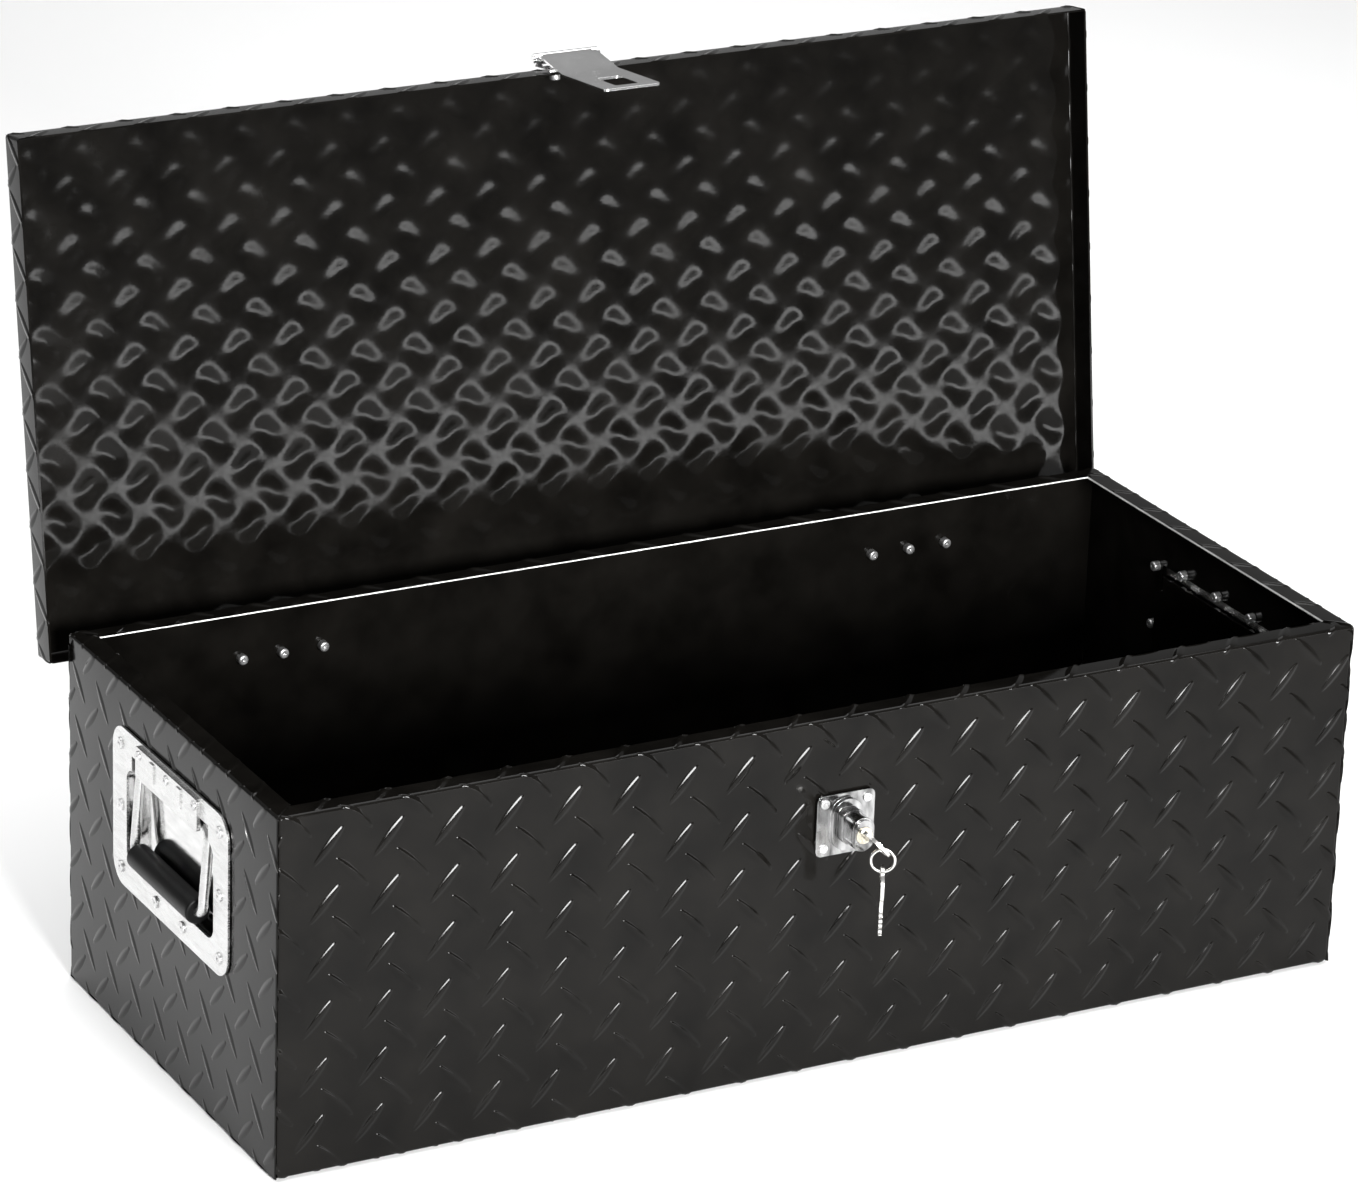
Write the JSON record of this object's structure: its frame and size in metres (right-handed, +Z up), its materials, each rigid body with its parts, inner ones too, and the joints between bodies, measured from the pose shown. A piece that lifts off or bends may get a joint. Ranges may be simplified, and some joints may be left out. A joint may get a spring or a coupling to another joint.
{
  "type": "truck tool box",
  "caption": "Black tread-plate truck tool box with an open hinged lid, recessed end handles with rubber grips, and a keyed hasp lock.",
  "frame": {"origin": "centre of the box body's underside", "axes": "+X to the right seen from the front, along the box's length; +Y to the back, where the lid hinges are; +Z up"},
  "size_m": [0.767, 0.4501, 0.5464],
  "materials": {
    "tread_sheet": "gloss black paint over tread plate",
    "hinge_steel": "zinc plated",
    "rivet_alloy": "bare alloy",
    "handle_plating": "bright zinc plated",
    "grip_rubber": "matt black",
    "hasp_chrome": "polished",
    "lock_chrome": "polished",
    "plug_brass": "nickel-washed",
    "key_nickel": "nickel plated"
  },
  "bodies": {
    "root": {"body_wrap": "tread_sheet", "end_panel_left": "tread_sheet", "end_panel_right": "tread_sheet", "hinge_left_body_leaf": "hinge_steel", "hinge_left_pin": "hinge_steel", "hinge_right_body_leaf": "hinge_steel", "hinge_right_pin": "hinge_steel", "hinge_body_rivets": "rivet_alloy", "handle_left_plate": "handle_plating", "handle_left_bracket": "handle_plating", "handle_left_rivets": "rivet_alloy", "handle_right_plate": "handle_plating", "handle_right_bracket": "handle_plating", "handle_right_rivets": "rivet_alloy", "lock_base": "lock_chrome", "lock_rivets": "rivet_alloy"},
    "lid": {"lid_shell": "tread_sheet", "hinge_left_lid_leaf": "hinge_steel", "hinge_right_lid_leaf": "hinge_steel", "hinge_lid_rivets": "rivet_alloy", "hasp_fixed_leaf": "hasp_chrome", "hasp_pin": "hasp_chrome", "hasp_rivets": "rivet_alloy"},
    "hasp": {"hasp_swing_leaf": "hasp_chrome"},
    "left_handle": {"handle_left_bail": "handle_plating", "handle_left_grip": "grip_rubber"},
    "right_handle": {"handle_right_bail": "handle_plating", "handle_right_grip": "grip_rubber"},
    "head": {"lock_head": "lock_chrome", "lock_retainer": "lock_chrome"},
    "plug": {"lock_plug": "plug_brass"},
    "main_key": {"key": "key_nickel"},
    "ring": {"key_ring": "key_nickel"},
    "hanging_key": {"spare_key": "key_nickel"}
  },
  "joints": [
    {"name": "lid_hinge", "type": "hinge", "parent": "root", "child": "lid", "pos_m": [0, 0.1635, 0.2125], "axis": [1, 0, 0], "range_deg": [0, 98]},
    {"name": "hasp_hinge", "type": "hinge", "parent": "lid", "child": "hasp", "pos_m": [0.0049, 0.23583, 0.54032], "axis": [-1, 0, 0], "range_deg": [0, 230]},
    {"name": "left_handle_hinge", "type": "hinge", "parent": "root", "child": "left_handle", "pos_m": [-0.3705, -0.0048, 0.187], "axis": [0, 1, 0], "range_deg": [0, 95]},
    {"name": "right_handle_hinge", "type": "hinge", "parent": "root", "child": "right_handle", "pos_m": [0.3705, -0.0048, 0.187], "axis": [0, -1, 0], "range_deg": [0, 95]},
    {"name": "lock_turn", "type": "hinge", "parent": "root", "child": "head", "pos_m": [0.0049, -0.157, 0.166], "axis": [0, 1, 0], "range_deg": [0, 90]},
    {"name": "plug_turn", "type": "hinge", "parent": "head", "child": "plug", "pos_m": [0.0049, -0.157, 0.166], "axis": [0, 1, 0], "range_deg": [-48, 42]},
    {"name": "key_slide", "type": "slide", "parent": "plug", "child": "main_key", "axis": [0, -1, 0], "range_m": [0, 0.022]},
    {"name": "ring_swing", "type": "hinge", "parent": "main_key", "child": "ring", "pos_m": [0.00825, -0.1996, 0.16328], "axis": [0.8829, -0.4695, 0], "range_deg": [-20, 20]},
    {"name": "hanging_key_swing", "type": "hinge", "parent": "ring", "child": "hanging_key", "pos_m": [0.00825, -0.1996, 0.14868], "axis": [0.8829, -0.4695, 0], "range_deg": [-25, 25]}
  ]
}
